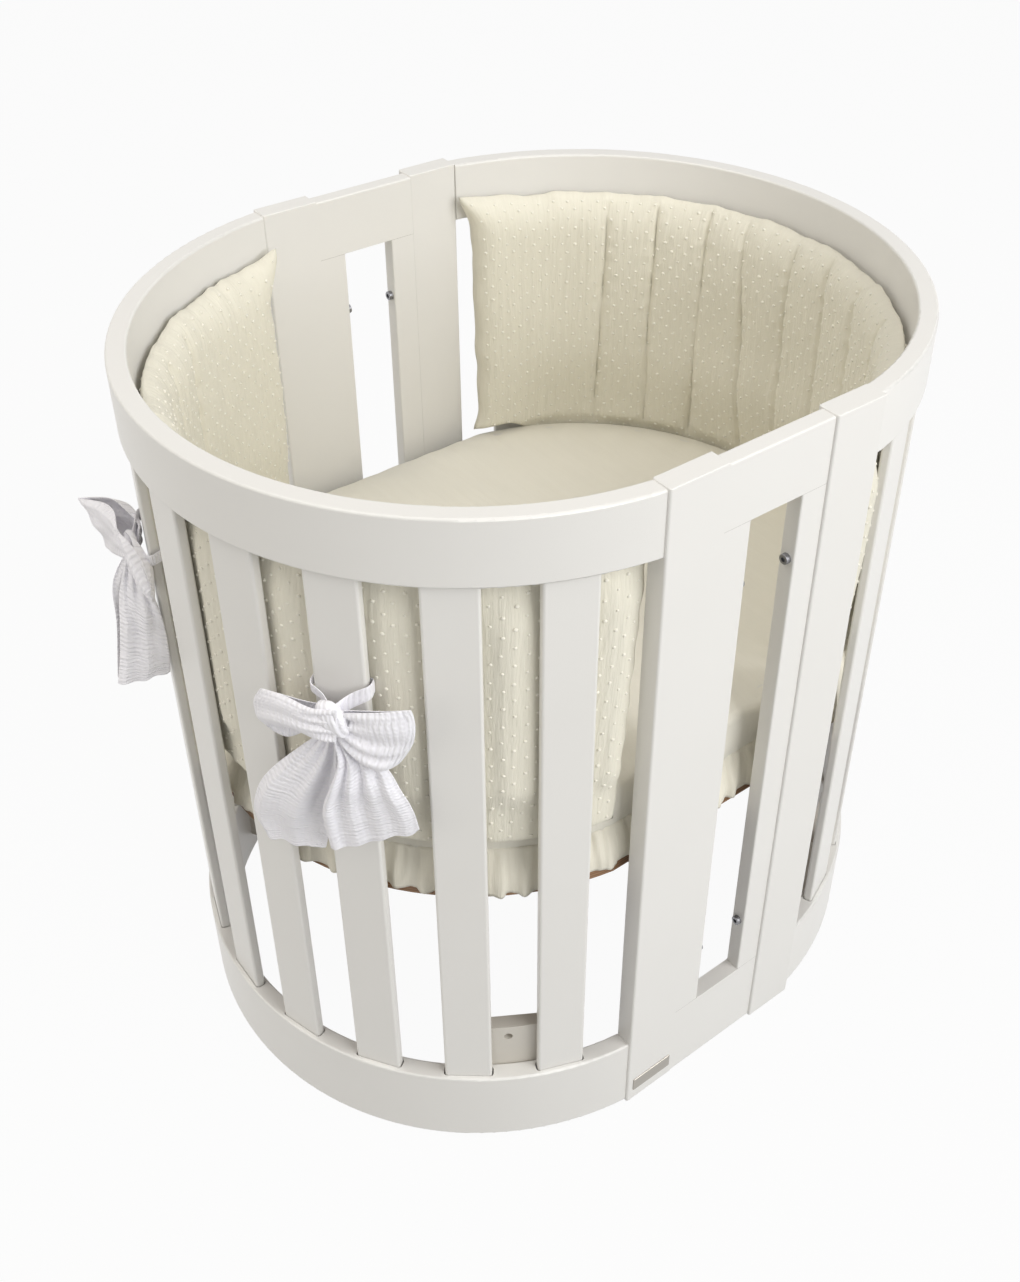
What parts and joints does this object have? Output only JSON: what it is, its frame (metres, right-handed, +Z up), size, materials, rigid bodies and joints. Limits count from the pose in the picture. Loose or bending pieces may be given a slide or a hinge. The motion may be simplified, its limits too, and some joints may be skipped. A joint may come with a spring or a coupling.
{
  "type": "baby crib",
  "caption": "Oval slatted baby crib with curved rails, bolted side panels, a raised mattress base, a frilled mattress cover, padded bumpers and tied ribbon bows.",
  "frame": {"origin": "on the floor, at the middle of the plan", "axes": "+Z up, +X from the front round end with the bows to the rear round end, -Y towards the near side panel with the plate"},
  "size_m": [0.8967, 0.716, 0.87],
  "materials": {
    "frame_lacquer": "warm white satin lacquer",
    "dowel_wood": "bare beech",
    "base_plywood": "brown plywood, matt varnish",
    "zinc": "zinc plated steel",
    "bracket_steel": "white powder coat",
    "mattress_ticking": "plain ticking",
    "cover_cotton": "cream cotton",
    "bumper_cotton": "ivory cotton with small raised dots",
    "bow_muslin": "white double gauze",
    "plate_metal": "satin, bare"
  },
  "bodies": {
    "frame": {"base_board": "base_plywood", "base_bolts": "zinc", "base_brackets": "bracket_steel", "base_nuts": "zinc", "bracket_screws": "zinc", "far_panel_bottom_rail": "frame_lacquer", "far_panel_front_stile": "frame_lacquer", "far_panel_rear_stile": "frame_lacquer", "far_panel_top_rail": "frame_lacquer", "front_bottom_rail": "frame_lacquer", "front_bow": "bow_muslin", "front_low_board_far": "frame_lacquer", "front_low_board_near": "frame_lacquer", "front_post_far": "frame_lacquer", "front_post_near": "frame_lacquer", "front_slat_1": "frame_lacquer", "front_slat_2": "frame_lacquer", "front_slat_3": "frame_lacquer", "front_slat_4": "frame_lacquer", "front_slat_5": "frame_lacquer", "front_slat_6": "frame_lacquer", "front_slat_7": "frame_lacquer", "front_slat_8": "frame_lacquer", "front_slat_9": "frame_lacquer", "front_top_rail": "frame_lacquer", "low_board_screws": "zinc", "name_plate": "plate_metal", "near_panel_bottom_rail": "frame_lacquer", "near_panel_front_stile": "frame_lacquer", "near_panel_rear_stile": "frame_lacquer", "near_panel_top_rail": "frame_lacquer", "panel_bolts": "zinc", "panel_dowels": "dowel_wood", "panel_inserts": "zinc", "rail_dowels": "dowel_wood", "rear_bottom_rail": "frame_lacquer", "rear_low_board_far": "frame_lacquer", "rear_low_board_near": "frame_lacquer", "rear_post_far": "frame_lacquer", "rear_post_near": "frame_lacquer", "rear_slat_1": "frame_lacquer", "rear_slat_2": "frame_lacquer", "rear_slat_3": "frame_lacquer", "rear_slat_4": "frame_lacquer", "rear_slat_5": "frame_lacquer", "rear_slat_6": "frame_lacquer", "rear_slat_7": "frame_lacquer", "rear_slat_8": "frame_lacquer", "rear_slat_9": "frame_lacquer", "rear_top_rail": "frame_lacquer", "side_bow": "bow_muslin"},
    "mattress": {"mattress": "mattress_ticking", "mattress_cover": "cover_cotton"},
    "bumper_front": {"bumper_front": "bumper_cotton"},
    "bumper_rear": {"bumper_rear": "bumper_cotton"}
  },
  "joints": [
    {"name": "mattress_lift", "type": "slide", "parent": "frame", "child": "mattress", "axis": [0, 0, 1], "range_m": [0, 0.49]},
    {"name": "bumper_front_lift", "type": "slide", "parent": "mattress", "child": "bumper_front", "axis": [0, 0, 1], "range_m": [0, 0.41]},
    {"name": "bumper_rear_lift", "type": "slide", "parent": "mattress", "child": "bumper_rear", "axis": [0, 0, 1], "range_m": [0, 0.41]}
  ]
}
